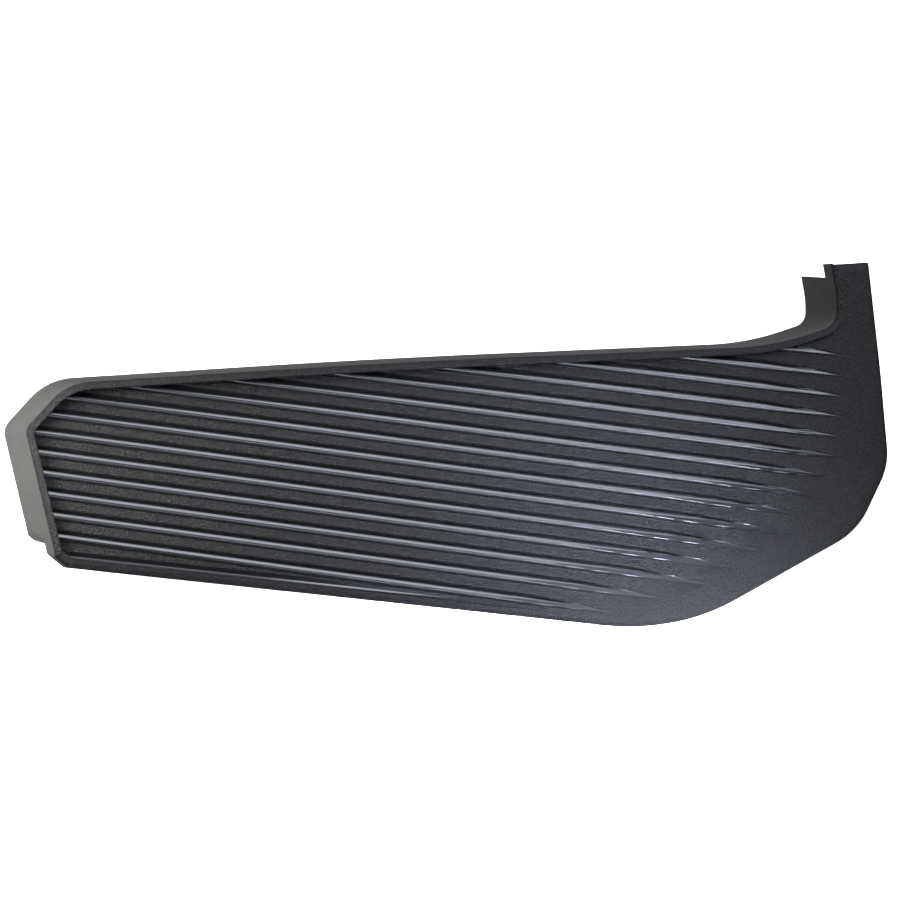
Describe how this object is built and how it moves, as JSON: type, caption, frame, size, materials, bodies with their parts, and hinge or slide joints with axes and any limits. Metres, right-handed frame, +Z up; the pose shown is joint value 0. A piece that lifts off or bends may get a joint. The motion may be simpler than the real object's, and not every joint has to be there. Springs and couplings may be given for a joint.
{
  "type": "running board",
  "caption": "Black moulded running board with a dished, ribbed tread, a rolled lip and an upright at its wide end, on a steel rail with cross brackets.",
  "frame": {"origin": "on the ground plane under the middle of the board's overall box", "axes": "+X to the wide end, +Y to the vehicle side, +Z up out of the tread"},
  "size_m": [0.6302, 0.2548, 0.048],
  "materials": {
    "moulded_plastic": "grained black polypropylene",
    "coated_steel": "black electrocoat",
    "pad_rubber": "matt",
    "insert_brass": "turned and knurled",
    "plated_steel": "zinc plated",
    "cap_plastic": "smooth",
    "spring_steel": "phosphated",
    "angle_aluminium": "mill",
    "foam": "closed-cell foam"
  },
  "bodies": {
    "root": {"tread_shell": "moulded_plastic", "reinforcement_rail": "coated_steel", "front_bracket": "coated_steel", "middle_bracket": "coated_steel", "rear_bracket": "coated_steel", "front_foot_pads": "pad_rubber", "middle_foot_pads": "pad_rubber", "rear_foot_pads": "pad_rubber", "shell_inserts": "insert_brass", "rail_isolators": "pad_rubber", "rail_screws": "plated_steel", "rail_washers": "plated_steel", "bracket_bolts": "plated_steel", "bracket_nuts": "plated_steel", "front_rail_cap": "cap_plastic", "rear_rail_cap": "cap_plastic", "upright_insert": "insert_brass", "end_insert": "insert_brass", "sill_clips": "spring_steel", "outer_edge_angle": "angle_aluminium", "edge_angle_screws": "plated_steel", "damping_foam": "foam"}
  },
  "joints": []
}
